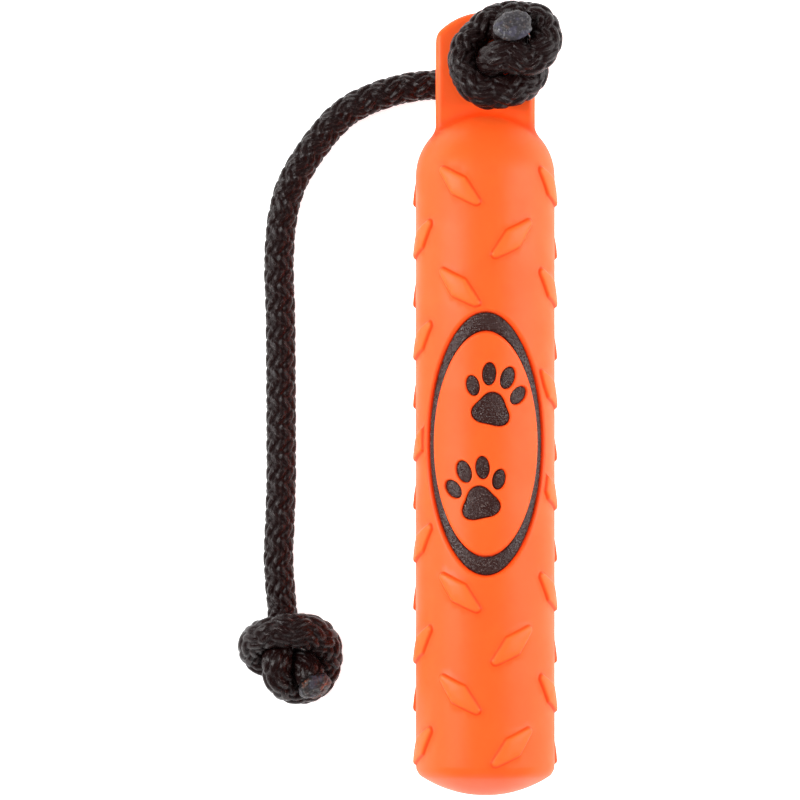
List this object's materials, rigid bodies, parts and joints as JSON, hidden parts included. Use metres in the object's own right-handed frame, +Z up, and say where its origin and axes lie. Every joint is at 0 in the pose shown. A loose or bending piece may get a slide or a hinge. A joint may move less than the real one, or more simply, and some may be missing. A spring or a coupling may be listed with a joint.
{
  "type": "dog retrieving dummy",
  "caption": "Hollow moulded retrieving dummy with raised lozenge studs, an oval badge, a flat tab and a braided throw rope knotted through the tab.",
  "frame": {"origin": "on the surface that the dummy lies on, under the middle of the dummy's bounding box without its rope", "axes": "+Y along the body towards the rope tab, +Z up out of the oval badge, +X to the right of the badge"},
  "size_m": [0.1161, 0.2887, 0.0563],
  "materials": {
    "orange_vinyl": "soft satin moulded vinyl",
    "black_inlay": "rough speckled black paint fill",
    "valve_rubber": "matt rubber",
    "black_rope": "braided polypropylene yarn",
    "melted_rope": "rough fused fibre ends"
  },
  "bodies": {
    "dummy": {"body_shell": "orange_vinyl", "badge_ring": "black_inlay", "paw_upper_toe_outer_left": "black_inlay", "paw_upper_toe_inner_left": "black_inlay", "paw_upper_toe_inner_right": "black_inlay", "paw_upper_toe_outer_right": "black_inlay", "paw_upper_heel": "black_inlay", "paw_lower_toe_outer_left": "black_inlay", "paw_lower_toe_inner_left": "black_inlay", "paw_lower_toe_inner_right": "black_inlay", "paw_lower_toe_outer_right": "black_inlay", "paw_lower_heel": "black_inlay", "air_valve": "valve_rubber"},
    "stopper": {"stopper_knot": "black_rope", "stopper_melted_end": "melted_rope"},
    "rope": {"rope_run": "black_rope", "end_knot": "black_rope", "free_melted_end": "melted_rope"}
  },
  "joints": [
    {"name": "rope_swing", "type": "hinge", "parent": "dummy", "child": "rope", "pos_m": [0, 0.1186, 0.0196], "axis": [0, 0, 1], "range_deg": [-180, 6]},
    {"name": "knot_turn", "type": "hinge", "parent": "dummy", "child": "stopper", "pos_m": [0, 0.1186, 0.0336], "axis": [0, 0, 1], "range_deg": [-45, 90]}
  ]
}
